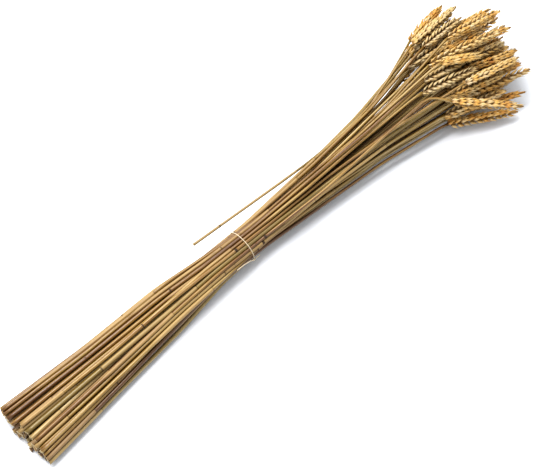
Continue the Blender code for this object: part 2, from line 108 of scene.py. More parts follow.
# A joint's rings: place in metres, swelling and darkness
JOINT_RINGS = (
    (-0.0026, 0.0, 0.0),
    (-0.0011, 0.5, 0.0),
    (-0.0006, 1.0, 1.0),
    (0.0006, 1.0, 1.0),
    (0.0010, 0.2, 0.0),
    (0.0026, 0.0, 0.0),
)
# Joints in sight that are nearly black, by their place along X, and how much longer they are
DARK_JOINTS = {"stalk_33": -0.0294, "stalk_46": -0.0247, "stalk_51": -0.0594}
DARK_JOINT_STRETCH = 1.7
# Leaf sheaths, one from each joint and one from below the cut end
SHEATH_CHANCE = 0.5
SHEATH_LENGTH = (0.060, 0.150)
SHEATH_BELOW_CUT = 0.1
# What follows a sheath's end: place in metres, and darkness, which is painted shadow of the
# sheath's step
SHEATH_SHADOW_RINGS = ((0.0004, 0.5), (0.0018, 0.0))
# Sheaths in sight, by their end's place along X
SHEATH_ENDS = {"stalk_33": 0.1430, "stalk_48": -0.1520}

# How much lighter the straws are by their place along X
STRAW_TONE_ALONG = (
    (-0.350, -0.20),
    (-0.270, -0.12),
    (-0.150, -0.02),
    (-0.060, -0.17),
    (0.030, -0.10),
    (0.120, -0.01),
    (0.250, 0.05),
)

# How light and how warm the ears in sight are, from 0, dark or greyish, to 1, pale or reddish
EAR_TONES = {
    "loose_stalk": (0.45, 0.55),
    "stalk_01": (0.80, 0.20),
    "stalk_05": (0.35, 0.85),
    "stalk_06": (0.58, 0.60),
    "stalk_07": (0.45, 0.20),
    "stalk_09": (0.70, 0.34),
    "stalk_19": (0.52, 0.62),
    "stalk_20": (0.42, 0.75),
    "stalk_25": (0.52, 0.50),
    "stalk_27": (0.58, 0.60),
    "stalk_30": (0.82, 0.20),
    "stalk_32": (0.82, 0.26),
    "stalk_33": (0.62, 0.60),
    "stalk_35": (0.76, 0.26),
    "stalk_37": (0.60, 0.50),
    "stalk_40": (0.80, 0.22),
    "stalk_43": (0.54, 0.30),
    "stalk_45": (0.84, 0.22),
    "stalk_46": (0.60, 0.60),
    "stalk_48": (0.62, 0.50),
    "stalk_49": (0.50, 0.62),
    "stalk_53": (0.70, 0.26),
    "stalk_54": (0.34, 0.60),
}

# The same for the straws in sight
STRAW_TONES = {
    "loose_stalk": (0.24, 0.08),
    "stalk_07": (0.62, 0.55),
    "stalk_10": (0.55, 0.50),
    "stalk_12": (1.05, 0.35),
    "stalk_19": (0.50, 0.45),
    "stalk_20": (0.58, 0.60),
    "stalk_27": (0.62, 0.45),
    "stalk_28": (0.50, 0.62),
    "stalk_32": (0.58, 0.50),
    "stalk_36": (0.58, 0.70),
    "stalk_37": (0.56, 0.50),
    "stalk_40": (0.50, 0.55),
    "stalk_41": (0.62, 0.50),
    "stalk_45": (0.60, 0.50),
    "stalk_48": (0.45, 0.50),
    "stalk_53": (0.54, 0.45),
    "stalk_54": (0.64, 0.66),
    "stalk_57": (0.85, 0.15),
}
# Between which values both are drawn for the other stalks
STRAW_TONE_SPREAD = ((0.15, 0.85), (0.0, 1.0))
EAR_TONE_SPREAD = ((0.3, 0.75), (0.3, 0.8))
# How far apart the patterns of two pieces may start
PATTERN_SPREAD = 10.0

# Husks: share of the length, half width, half depth and how far the middle bulges out
HUSK_SIDES = 6
HUSK_RINGS = (
    (0.00, 0.110, 0.080, 0.000),
    (0.16, 0.205, 0.150, 0.030),
    (0.38, 0.250, 0.190, 0.065),
    (0.62, 0.215, 0.150, 0.060),
    (0.84, 0.105, 0.075, 0.020),
    (0.95, 0.036, 0.030, 0.000),
)
# How deep a husk is at its keel, the corner above this height, and how flat its back is
KEEL = 1.15
KEEL_ABOVE = 0.9
FLAT_BACK = 0.55
# A spikelet's husks: place and turn in degrees to the side, length and width, how far they start
# below the middle one, and whether they are glumes, which enclose the others and bear no awn
FLORETS = (
    (0.00, 0.0, 1.00, 1.00, 0.0000, False),
    (0.0010, 15.0, 0.96, 0.95, 0.0002, False),
    (-0.0010, -15.0, 0.96, 0.95, 0.0002, False),
    (0.0015, 22.0, 0.70, 0.92, 0.0010, True),
    (-0.0015, -22.0, 0.70, 0.92, 0.0010, True),
)
# How wide an ear's spikelets are along it, and how far their length follows
EAR_PROFILE = (
    (0.0, 0.62),
    (0.12, 0.88),
    (0.30, 1.0),
    (0.50, 0.92),
    (0.70, 0.76),
    (0.86, 0.58),
    (1.0, 0.40),
)
LENGTH_FOLLOWS = 0.55
# How spikelets lean out less towards the tip, while the top one hardly leans and turns less
LEAN_LOST = 0.5
TOP_LEAN = 0.12
TOP_TURN = 0.8
# A husk's keel turns further to the side than the husk
KEEL_TURN = 2.2
# How much of its full length an awn has, by chance, and at the ear's foot
AWN_SPREAD = (0.1, 1.0)
AWN_AT_FOOT = 0.2
# How far spikelets and husks differ
LEAN_SPREAD = (0.78, 1.28)
SIZE_SPREAD = (0.90, 1.10)
TURN_SPREAD = 4.5
SPIKELET_TONE_SPREAD = 0.10
HUSK_TONE_SPREAD = 0.08
HUSK_WARMTH_SPREAD = 0.10

# The string's knot and ends, counted along the bunch and, in degrees, round it from the knot
KNOT_ANGLE = math.radians(-161.0)
LONG_END = ((0.0, 0.0), (-0.0030, -9.0), (-0.0070, -19.0), (-0.0140, -25.0), (-0.0240, -27.0))
SHORT_END = ((0.0, 0.0), (0.0040, -1.0), (0.0085, 1.0))
KNOT_SCALE = (0.00062, 0.00052, 0.00060)
LOOP_STEPS = 240
END_POINTS = 24
KNOT_POINTS = 73
# Its plies: their radius and how far they lie off its middle, as shares of its radius
PLIES = 2
PLY_RADIUS = 0.56
PLY_OFF = 0.44
PLY_SIDES = 6
RINGS_A_TWIST = 10
FEWEST_RINGS = 8
STRING_UP = Vector((0.3, 0.2, 1.0)).normalized()

# Patterns: cells per metre on three axes, the last along the fibres, and the detail in them
STRAW_DRIFT = (0.0, 0.0, 13.0), 3.0
STRAW_PATCHES = (480.0, 480.0, 12.0), 3.0
STRAW_STREAKS = (1500.0, 1500.0, 14.0), 2.0
STRAW_FIBRES = (6000.0, 6000.0, 60.0), 2.0
STRAW_SPOTS = (700.0, 700.0, 90.0), 4.0
RIM_GRAIN = (5000.0, 5000.0, 300.0), 2.0
HUSK_PATCHES = (500.0, 500.0, 260.0), 3.0
HUSK_RIBS = (3200.0, 3200.0, 120.0), 2.0
STRING_FUZZ = (5000.0, 5000.0, 900.0), 2.0
# How far they move a tone, and how much paler a glume is
DRIFT_SWING = 0.7
PATCH_SWING = 1.2
STREAK_SWING = 0.9
HUSK_PATCH_SWING = 0.6
GLUME_PALER = 0.06
# The tones at which the five colours of straws and husks stand, from the darkest to the palest
RIPENESS = (0.05, 0.28, 0.5, 0.72, 0.95)
# The warmth at which they begin to look and fully look greyish, and reddish
COOL = (0.40, 0.0)
WARM = (0.65, 1.0)
# The noise, or the place along a husk, at which each of these begins and is full
FIBRES_FROM = 0.35
SPOTS = (0.62, 0.75)
# Inside a cut end the hollow is painted nearly black, which is painted shade
HOLLOW_SHADE = (0.0, 0.5)
# At a husk's foot the dark is partly a browner base and partly painted shade between the spikelets
HUSK_FOOT_SHADE = (0.05, 0.55)
HUSK_POINT = (0.8, 1.0)
RIB_TOPS = (0.45, 0.75)
# How much of each colour lies over a straw, a husk and the string at most
STRAW_TINTS = {
    "olive": 0.6,
    "rust": 0.18,
    "sheath": 0.4,
    "fibres": 0.5,
    "spots": 0.5,
    "joint": 0.95,
}
# A husk's foot tint is partly a browner base and partly painted shade between the spikelets
HUSK_TINTS = {"grey": 0.65, "rust": 0.5, "foot": 0.6, "point": 0.35, "ribs": 0.2}
STRING_TINT = 0.6
# How rough each surface is, and how much rougher where something covers or marks it
STRAW_ROUGHNESS = 0.40
SHEATH_ROUGHER = 0.15
JOINT_ROUGHER = 0.5
STREAKS_ROUGHER = 0.2
RIM_ROUGHNESS = 0.8
HUSK_ROUGHNESS = 0.55
RIBS_ROUGHER = 0.25
DULL_ROUGHNESS = 0.9  # of the string and the floor
# How high their relief stands, and the fibres' share in a straw's
STRAW_RELIEF = 0.00025
FIBRES_SHARE = 0.4
STREAKS_SHARE = 0.6
RIM_RELIEF = 0.0002
HUSK_RELIEF = 0.0003
STRING_RELIEF = 0.0002

# Where the camera stands and looks, and where the main light stands
CAMERA_AZIMUTH = math.radians(-43.65)
CAMERA_ELEVATION = math.radians(60.0)
CAMERA_DISTANCE = 1.8
CAMERA_LENS = 115.27
CAMERA_AIM = (-0.0170, 0.0042, 0.0196)
KEY_PLACE = (-0.22, 0.56, 1.52)


@dataclass
class Course:
    """The course that a stalk takes, measured on its node."""

    line: np.ndarray  # points of the straw's middle, from the cut end to the ear
    radius: np.ndarray  # of the straw at each of them
    ear: tuple  # the ear's foot, middle and tip
    out: Vector  # the way that the ear's two rows of spikelets stand


def node_skin(name):
    """A node's corners and the pairs of corners that its edges join."""
    bm = bmesh.new()
    bm.from_mesh(frame["nodes"][name].data)
    bmesh.ops.remove_doubles(bm, verts=bm.verts, dist=WELD)
    bm.verts.index_update()
    points = np.array([vert.co for vert in bm.verts])
    edges = np.array([[vert.index for vert in edge.verts] for edge in bm.edges])
    bm.free()
    return points, edges


def cut_across(points, edges, along):
    """Where a plane across the bunch meets a node's edges, as (y, z)."""
    start, end = points[edges[:, 0]], points[edges[:, 1]]
    met = (start[:, 0] < along) != (end[:, 0] < along)
    start, end = start[met], end[met]
    share = ((along - start[:, 0]) / (end[:, 0] - start[:, 0]))[:, None]
    return (start * (1 - share) + end * share)[:, 1:]


def smoothed(values):
    """A running mean that keeps both ends where they are."""
    side = SMOOTH_CUTS // 2
    kernel = np.ones(SMOOTH_CUTS) / SMOOTH_CUTS
    padded = np.pad(values, side, mode="reflect", reflect_type="odd")
    return np.convolve(padded, kernel, mode="valid")


def measure(name):
    """Reads a stalk's course off its node."""
    points, edges = node_skin(name)
    low, high = points[:, 0].min(), points[:, 0].max()
    along = np.arange(low + FIRST_CUT, high - FIRST_CUT, CUT_STEP)
    cuts = [cut_across(points, edges, at) for at in along]
    middles = np.array([(cut.min(0) + cut.max(0)) / 2 for cut in cuts])
    halves = np.array([np.ptp(cut, axis=0).min() / 2 for cut in cuts])
    upper = along > low + EAR_PART * (high - low)
    foot = int(np.argmax(upper & (halves > BARE_MOST))) - 1

    line = np.column_stack([along, middles])[: foot + 1]
    line = np.column_stack([smoothed(column) for column in line.T])
    radius = smoothed(halves[: foot + 1]) * ROUND_OUT

    tip = points[np.argmax(points[:, 0])]
    half_way = (line[-1, 0] + tip[0]) / 2
    near = np.abs(along - half_way) < (tip[0] - line[-1, 0]) / EAR_SLICES
    middle = np.array([half_way, *middles[near].mean(0)])
    ahead = (tip - line[-1]) / np.linalg.norm(tip - line[-1])
    # An ear is widest the way its two rows stand
    slices = [
        np.column_stack([np.full(len(cut), at), cut])
        for at, cut, chosen in zip(along, cuts, near)
        if chosen
    ]
    around = np.concatenate(slices)
    around -= around.mean(0)
    around -= np.outer(around @ ahead, ahead)
    out = np.linalg.svd(around, full_matrices=False)[2][0]
    return Course(line, radius, (Vector(line[-1]), Vector(middle), Vector(tip)), Vector(out))


class Skin:
    """A mesh in the making, whose corners carry what its materials read."""

    def __init__(self):
        self.bm = bmesh.new()
        self.fibre = self.bm.verts.layers.float_vector.new("fibre")
        self.tone = self.bm.verts.layers.float.new("tone")
        self.warmth = self.bm.verts.layers.float.new("warmth")
        self.mark = self.bm.verts.layers.float.new("mark")
        self.cover = self.bm.verts.layers.float.new("cover")

    def extend(self, end):
        """Extrudes a tube's end face and returns the new one."""
        return bmesh.ops.extrude_discrete_faces(self.bm, faces=[end])["faces"][0]

    def ring(self, verts, centre, axes, corners, along, look=(0.0, 0.0), mark=0.0, cover=0.0):
        """Places a ring of corners, and notes where they are on the straightened piece."""
        left, up = axes
        for vert, (to_left, upwards, onwards) in zip(verts, corners):
            vert.co = centre + left * to_left + up * upwards + left.cross(up) * onwards
            vert[self.fibre] = (to_left, upwards, along)
            vert[self.tone], vert[self.warmth] = look
            vert[self.mark] = mark
            vert[self.cover] = cover

    def start(self, sides):
        """Adds a prism and returns its first ring, first face and last face."""
        made = bmesh.ops.create_cone(
            self.bm, cap_ends=True, segments=sides, radius1=1, radius2=1, depth=1
        )["verts"]
        first = next(face for face in made[0].link_faces if face.normal.z < -FACES_UP)
        last = next(face for vert in made for face in vert.link_faces if face.normal.z > FACES_UP)
        ring = []
        for vert in last.verts:
            across = [edge.other_vert(vert) for edge in vert.link_edges]
            ring.append(next(other for other in across if other in first.verts))
        return ring, first, last

    def finish(self, name, body, slot, materials, *replaced):
        """Makes the piece, which lies on the floor, rides on a body and stands for CAD nodes."""
        for vert in self.bm.verts:
            vert.co.z = max(vert.co.z, 0.0)
        mesh = bpy.data.meshes.new(name)
        self.bm.to_mesh(mesh)
        self.bm.free()
        mesh.shade_smooth()
        for material in materials:
            mesh.materials.append(material)
        piece = bpy.data.objects.new(name, mesh)
        bpy.context.scene.collection.objects.link(piece)
        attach(piece, body)
        if replaced:
            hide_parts(*replaced)
        return piece


def ring_axes(ahead, hint=UP):
    """Two directions square to a way and to each other."""
    left = hint.cross(ahead).normalized()
    return left, ahead.cross(left)


def circle(radius, sides, onwards=0.0):
    """The corners of a round ring, as left, up and ahead of its centre."""
    angles = [math.tau * corner / sides for corner in range(sides)]
    return [
        (radius * math.cos(angle), radius * math.sin(angle), onwards * math.cos(angle))
        for angle in angles
    ]


class Track:
    """A line of points that can be asked for a place and a heading at any length along it."""

    def __init__(self, points):
        self.points = np.asarray(points, float)
        steps = np.linalg.norm(np.diff(self.points, axis=0), axis=1)
        self.along = np.concatenate([[0.0], np.cumsum(steps)])
        self.length = self.along[-1]
        self.ways = np.gradient(self.points, self.along, axis=0)

    def at(self, along):
        """The point at a length."""
        return Vector(np.interp(along, self.along, column) for column in self.points.T)

    def where(self, x):
        """The length at which the line passes a place along X."""
        return float(np.interp(x, self.points[:, 0], self.along))

    def way(self, along):
        """The heading at a length."""
        return Vector(np.interp(along, self.along, column) for column in self.ways.T).normalized()


def straw_rings(track, rng, look, name):
    """How thick, dark and covered a straw is: rows of place, size, mark and cover."""
    joints = [
        (track.length - below + rng.normal(0, JOINT_SPREAD), chance)
        for below, chance in JOINTS_BELOW_EAR
    ]
    sheaths = []
    for start in (-rng.uniform(0, SHEATH_BELOW_CUT), *(joint for joint, _ in joints)):
        if rng.random() < SHEATH_CHANCE:
            sheaths.append((start, start + rng.uniform(*SHEATH_LENGTH)))
    if name in SHEATH_ENDS:
        end = track.where(SHEATH_ENDS[name])
        sheaths.append((end - SHEATH_LENGTH[1], end))
    steps = np.arange(RING_STEP, track.length - RING_STEP / 2, RING_STEP)
    places = {float(at): (0.0, 0.0) for at in steps}
    for joint, chance in joints:
        depth = rng.uniform(*JOINT_DEPTH)
        if rng.random() < chance:
            for offset, swell, mark in JOINT_RINGS:
                places[joint + offset] = (swell, mark * depth)
    if name in DARK_JOINTS:
        joint = track.where(DARK_JOINTS[name])
        places = {at: row for at, row in places.items() if abs(at - joint) > RING_STEP / 2}
        for offset, swell, mark in JOINT_RINGS:
            places[joint + offset * DARK_JOINT_STRETCH] = (swell * DARK_JOINT_STRETCH, mark)
    for _, end in sheaths:
        places[end] = (0.0, 0.0)
        # Just past a sheath's end, a dark ring of painted shadow from the sheath's step
        for offset, mark in SHEATH_SHADOW_RINGS:
            places[end + offset] = (0.0, mark)
    places[0.0] = (0.0, 0.0)
    places[track.length] = (0.0, 0.0)
    rows = []
    for at in sorted(place for place in places if 0 <= place <= track.length):
        swell, mark = places[at]
        cover = float(any(start <= at <= end for start, end in sheaths))
        to_neck = (at / track.length) ** 2
        bare = look.bare_share + (look.neck_share - look.bare_share) * to_neck
        size = bare + (look.sheath_share - look.bare_share) * cover
        rows.append((at, size * (1 + swell * look.joint_swell), mark, cover))
    return rows


def build_straw(skin, course, rng, tones, look, name):
    """A straw with joints and sheaths, hollow at its cut end."""
    track = Track(course.line)
    rows = straw_rings(track, rng, look, name)
    offset = rng.uniform(0, PATTERN_SPREAD)
    slant = SLANTED_CUT * rng.uniform(-1, 1)
    ring, cut, last = skin.start(STRAW_SIDES)
    for place, (at, size, mark, cover) in enumerate(rows):
        radius = float(np.interp(at, track.along, course.radius)) * size
        corners = circle(radius, STRAW_SIDES, slant * radius if place == 0 else 0.0)
        if place > 1:
            last = skin.extend(last)
        verts = last.verts if place else ring
        middle = track.at(at)
        axes = ring_axes(track.way(at))
        tone = tones[0] + float(np.interp(middle.x, *np.array(STRAW_TONE_ALONG).T))
        skin.ring(verts, middle, axes, corners, offset + at, (tone, tones[1]), mark, cover)

    rim = bmesh.ops.inset_individual(skin.bm, faces=[cut], thickness=STRAW_WALL)["faces"]
    floor = skin.extend(cut)
    ahead = track.way(0.0)
    bmesh.ops.translate(skin.bm, verts=list(floor.verts), vec=ahead * HOLLOW_DEPTH)
    # Marks the hollow's floor, where the cut end's material paints shade
    for vert in floor.verts:
        vert[skin.mark] = 1.0
    hollow = {face for edge in floor.edges for face in edge.link_faces}
    for face in (*rim, *hollow):
        face.material_index = CUT_END


def husk_mesh():
    """A boat-shaped husk one unit long, standing on its foot, with its keel towards +Y."""
    skin = Skin()
    ring, _, last = skin.start(HUSK_SIDES)
    axes = Vector((1, 0, 0)), Vector((0, 1, 0))
    for place, (share, wide, deep, bulge) in enumerate(HUSK_RINGS):
        corners = []
        for corner in range(HUSK_SIDES):
            angle = math.tau * (corner + 0.5) / HUSK_SIDES
            height = math.sin(angle)
            stretch = KEEL if height > KEEL_ABOVE else FLAT_BACK if height < 0 else 1.0
            corners.append((wide * math.cos(angle), deep * height * stretch + bulge, 0.0))
        if place > 1:
            last = skin.extend(last)
        verts = last.verts if place else ring
        skin.ring(verts, Vector((0, 0, share)), axes, corners, share, mark=share)
    tip = bmesh.ops.poke(skin.bm, faces=[last])["verts"][0]
    tip.co = (0, 0, 1)
    tip[skin.fibre] = (0, 0, 1)
    tip[skin.mark] = 1.0
    skin.bm.normal_update()
    mesh = bpy.data.meshes.new("husk")
    skin.bm.to_mesh(mesh)
    skin.bm.free()
    return mesh


def add_husk(skin, husk, foot, ahead, outwards, size, tones, cover, awn, offset):
    """Copies the husk to a place, with its own tone, and draws its last corner out to an awn."""
    length, width = size
    first = len(skin.bm.verts)
    skin.bm.from_mesh(husk)
    skin.bm.verts.ensure_lookup_table()
    verts = skin.bm.verts[first:]
    outwards = (outwards - ahead * outwards.dot(ahead)).normalized()
    left = outwards.cross(ahead)
    turn = Matrix((left, outwards, ahead)).transposed().to_4x4()
    matrix = Matrix.Translation(foot) @ turn @ Matrix.Diagonal((width, width, length, 1))
    for vert in verts:
        vert[skin.fibre] = (
            vert.co.x * width + offset,
            vert.co.y * width,
            vert.co.z * length,
        )
        vert[skin.tone], vert[skin.warmth] = tones
        vert[skin.cover] = cover
    bmesh.ops.transform(skin.bm, matrix=matrix, verts=verts)
    verts[-1].co += ahead * awn


def build_ear(skin, husk, course, rng, tones, look):
    """An ear: a thin rachis with spikelets left and right, half a pitch out of step."""
    foot, middle, tip = course.ear

    def axis(share):
        """A place on the bow through the ear's foot, middle and tip."""
        return (
            foot * (1 - share) * (1 - 2 * share)
            + middle * 4 * share * (1 - share)
            + tip * share * (2 * share - 1)
        )

    def way(share):
        """The bow's heading there."""
        slope = foot * (4 * share - 3) + middle * (4 - 8 * share) + tip * (4 * share - 1)
        return slope.normalized()

    count = 2 * look.spikelets_a_side
    length = (tip - foot).length
    step = (1 - look.top_spikelet / length) / count
    ring, _, last = skin.start(HUSK_SIDES)
    for level in range(look.spikelets_a_side + 1):
        share = level / look.spikelets_a_side * (1 - step)
        if level > 1:
            last = skin.extend(last)
        verts = last.verts if level else ring
        axes = ring_axes(way(share), course.out)
        corners = circle(look.rachis_radius, HUSK_SIDES)
        skin.ring(verts, axis(share), axes, corners, share, tones)

    sizes = np.array(EAR_PROFILE).T
    for number in range(count + 1):
        top = number == count
        share = number * step
        ahead = way(min(share + step, 1.0))
        depth = ahead.cross(course.out).normalized()
        out = depth.cross(ahead) * (1 if number % 2 else -1)
        if top:
            out, depth = depth, out
        lean = math.radians(look.lean_deg) * (TOP_LEAN if top else 1 - LEAN_LOST * share**2)
        lean *= rng.uniform(*LEAN_SPREAD)
        size = float(np.interp(share, *sizes)) * rng.uniform(*SIZE_SPREAD)
        core = axis(share) + out * (0.0 if top else look.rachis_radius)
        tone = tones[0] + rng.normal(0, SPIKELET_TONE_SPREAD)
        warmth = tones[1] - look.grey_tip * share**3
        stretch = 1 - LENGTH_FOLLOWS * (1 - size)
        straight = ahead * math.cos(lean) + out * math.sin(lean)
        for aside, turn, long, wide, below, glume in FLORETS:
            turn = math.radians(turn + rng.normal(0, TURN_SPREAD)) * (TOP_TURN if top else 1.0)
            keel_turn = turn * KEEL_TURN
            awn = look.awn_length * (1 - glume) * rng.uniform(*AWN_SPREAD)
            add_husk(
                skin,
                husk,
                foot=core + depth * aside * size - ahead * below,
                ahead=straight * math.cos(turn) + depth * math.sin(turn),
                outwards=out * math.cos(keel_turn) + depth * math.sin(keel_turn),
                size=(look.husk_length * long * stretch, look.husk_width * wide * size),
                tones=(
                    tone + rng.normal(0, HUSK_TONE_SPREAD),
                    warmth + rng.normal(0, HUSK_WARMTH_SPREAD),
                ),
                cover=float(glume),
                awn=awn * (AWN_AT_FOOT + (1 - AWN_AT_FOOT) * share**2),
                offset=rng.uniform(0, PATTERN_SPREAD),
            )


class Value:
    """A shader node's output that can be used in a sum."""

    def __init__(self, shader, socket):
        self.shader = shader
        self.socket = socket

    def _with(self, operation, first, second):
        return self.shader.node("ShaderNodeMath", {"operation": operation}, {0: first, 1: second})

    def __add__(self, other):
        return self._with("ADD", self, other)

    def __radd__(self, other):
        return self._with("ADD", other, self)

    def __sub__(self, other):
        return self._with("SUBTRACT", self, other)

    def __rsub__(self, other):
        return self._with("SUBTRACT", other, self)

    def __mul__(self, other):
        return self._with("MULTIPLY", self, other)


class Shader:
    """A material's nodes, around one Principled BSDF."""

    def __init__(self, name):
        self.material = bpy.data.materials.new(name)
        self.material.use_nodes = True
        self.tree = self.material.node_tree
        self.surface = self.tree.nodes["Principled BSDF"]

    def node(self, kind, settings=None, inputs=None, output=0):
        """Adds a node with its settings and inputs, and returns one of its outputs."""
        made = self.tree.nodes.new(kind)
        for name, setting in (settings or {}).items():
            if name == "stops":
                ramp = made.color_ramp.elements
                while len(ramp) < len(setting):
                    ramp.new(1.0)
                for stop, (place, colour) in zip(ramp, setting):
                    stop.position = place
                    stop.color = colour
            else:
                setattr(made, name, setting)
        for name, given in (inputs or {}).items():
            self.feed(made.inputs[name], given)
        return Value(self, made.outputs[output])

    def feed(self, socket, given):
        """Links a value to a socket, or sets a plain number or colour on it."""
        if isinstance(given, Value):
            self.tree.links.new(given.socket, socket)
        else:
            socket.default_value = given

    def set(self, name, given):
        """Sets or links one of the surface's sockets."""
        self.feed(self.surface.inputs[name], given)

    def attribute(self, name, output="Fac"):
        """What a piece's corners carry."""
        return self.node("ShaderNodeAttribute", {"attribute_name": name}, output=output)

    def mix(self, share, first, second):
        """Mixes two colours, whose sockets are the mix node's seventh and eighth."""
        settings = {"data_type": "RGBA", "clamp_factor": True}
        return self.node("ShaderNodeMix", settings, {0: share, 6: first, 7: second}, output=2)

    def ramp(self, tone, colours):
        """The colour that a tone has, from the darkest to the palest."""
        stops = [(place, rgba(colour)) for place, colour in zip(RIPENESS, colours)]
        return self.node("ShaderNodeValToRGB", {"stops": stops}, {"Fac": tone})

    def noise(self, vector, cells, detail):
        """Noise on coordinates that are scaled by a number for each axis."""
        scaled = self.node("ShaderNodeVectorMath", {"operation": "MULTIPLY"}, {0: vector, 1: cells})
        inputs = {"Vector": scaled, "Scale": 1.0, "Detail": detail}
        return self.node("ShaderNodeTexNoise", {}, inputs)

    def between(self, value, start, full):
        """0 up to the start and 1 where it is full, with a smooth way between."""
        return self.node(
            "ShaderNodeMapRange",
            {"interpolation_type": "SMOOTHSTEP"},
            {"Value": value, "From Min": start, "From Max": full},
        )

    def bump(self, height, distance):
        """Raises the surface by a share of a distance."""
        inputs = {"Height": height, "Distance": distance}
        self.set("Normal", self.node("ShaderNodeBump", {}, inputs))


def rgba(colour):
    """A colour with full alpha."""
    return (*colour, 1.0)


def swing(noise, reach):
    """A noise's way up and down from its middle."""
    return (noise - 0.5) * reach


def straw_material(look):
    """Dry straw: streaked along its fibres, darker at its joints, dull under a sheath, and with
    painted shadow just past a sheath's end.
    """
    shader = Shader("straw")
    fibre = shader.attribute("fibre", "Vector")
    tone = shader.attribute("tone")
    warmth = shader.attribute("warmth")
    mark = shader.attribute("mark")
    cover = shader.attribute("cover")
    streaks = shader.noise(fibre, *STRAW_STREAKS)
    patches = shader.noise(fibre, *STRAW_PATCHES)
    fine = shader.noise(fibre, *STRAW_FIBRES)
    drift = shader.noise(fibre, *STRAW_DRIFT)
    tone = tone + swing(drift, DRIFT_SWING) + swing(patches, PATCH_SWING)
    tone = tone + swing(streaks, STREAK_SWING)
    colour = shader.ramp(tone, (look.bark, look.brown, look.gold, look.tan, look.pale))
    cool = shader.between(warmth, *COOL)
    colour = shader.mix(cool * STRAW_TINTS["olive"], colour, rgba(look.olive))
    warm = shader.between(warmth, *WARM)
    colour = shader.mix(warm * STRAW_TINTS["rust"], colour, rgba(look.rust))
    colour = shader.mix(cover * STRAW_TINTS["sheath"], colour, rgba(look.sheath))
    fibres = fine - FIBRES_FROM
    colour = shader.mix(fibres * STRAW_TINTS["fibres"], colour, rgba(look.shade))
    spots = shader.between(shader.noise(fibre, *STRAW_SPOTS), *SPOTS)
    colour = shader.mix(spots * STRAW_TINTS["spots"], colour, rgba(look.joint))
    # The mark darkens joints, and just past a sheath's end it is painted shadow of the sheath's
    # step
    colour = shader.mix(mark * STRAW_TINTS["joint"], colour, rgba(look.joint))
    shader.set("Base Color", colour)
    roughness = STRAW_ROUGHNESS + cover * SHEATH_ROUGHER + mark * JOINT_ROUGHER
    shader.set("Roughness", roughness + swing(streaks, STREAKS_ROUGHER))
    shader.set("Specular IOR Level", look.shine)
    shader.bump(streaks * STREAKS_SHARE + fine * FIBRES_SHARE, STRAW_RELIEF)
    return shader.material


def pith_material(look):
    """The cut end: pale fibres on the rim, and painted shade inside the hollow, nearly black at its
    floor.
    """
    shader = Shader("cut_straw")
    fibre = shader.attribute("fibre", "Vector")
    mark = shader.attribute("mark")
    grain = shader.noise(fibre, *RIM_GRAIN)
    colour = shader.mix(grain, rgba(look.rim), rgba(look.pale))
    # Paints shade in the hollow, darkest at its floor
    shader.set("Base Color", shader.mix(shader.between(mark, *HOLLOW_SHADE), colour, rgba(look.hollow)))
    shader.set("Roughness", RIM_ROUGHNESS)
    shader.bump(grain, RIM_RELIEF)
    return shader.material


def husk_material(look):
    """Dry husks: ribbed lengthwise with pale ribs, brown at the point, and dark at the foot, partly
    a browner base and partly painted shade between the spikelets.
    """
    shader = Shader("husk")
    fibre = shader.attribute("fibre", "Vector")
    tone = shader.attribute("tone")
    warmth = shader.attribute("warmth")
    mark = shader.attribute("mark")
    cover = shader.attribute("cover")
    ribs = shader.noise(fibre, *HUSK_RIBS)
    patches = shader.noise(fibre, *HUSK_PATCHES)
    tone = tone + swing(patches, HUSK_PATCH_SWING) + cover * GLUME_PALER
    colour = shader.ramp(tone, (look.rust, look.amber, look.gold, look.beige, look.cream))
    cool = shader.between(warmth, *COOL)
    colour = shader.mix(cool * HUSK_TINTS["grey"], colour, rgba(look.grey))
    warm = shader.between(warmth, *WARM)
    colour = shader.mix(warm * HUSK_TINTS["rust"], colour, rgba(look.rust))
    # Darkens the husk's foot: partly a browner base, partly painted shade in the gaps between
    # spikelets
    foot = 1 - shader.between(mark, *HUSK_FOOT_SHADE)
    colour = shader.mix(foot * HUSK_TINTS["foot"], colour, rgba(look.foot))
    point = shader.between(mark, *HUSK_POINT)
    colour = shader.mix(point * HUSK_TINTS["point"], colour, rgba(look.foot))
    tops = shader.between(ribs, *RIB_TOPS)
    colour = shader.mix(tops * HUSK_TINTS["ribs"], colour, rgba(look.cream))
    shader.set("Base Color", colour)
    shader.set("Roughness", HUSK_ROUGHNESS + swing(ribs, RIBS_ROUGHER))
    shader.set("Specular IOR Level", look.shine)
    shader.bump(ribs, HUSK_RELIEF)
    return shader.material


def string_material(look):
    """Twisted cotton."""
    shader = Shader("string")
    fibre = shader.attribute("fibre", "Vector")
    fuzz = shader.noise(fibre, *STRING_FUZZ)
    shader.set("Base Color", shader.mix(fuzz * STRING_TINT, rgba(look.colour), rgba(look.shade)))
    shader.set("Roughness", DULL_ROUGHNESS)
    shader.bump(fuzz, STRING_RELIEF)
    return shader.material


def colour_of(name, description, default):
    """A colour setting."""
    return FloatVectorProperty(
        name=name,
        description=description,
        default=default,
        subtype="COLOR",
        size=3,
        min=0.0,
        max=1.0,
    )


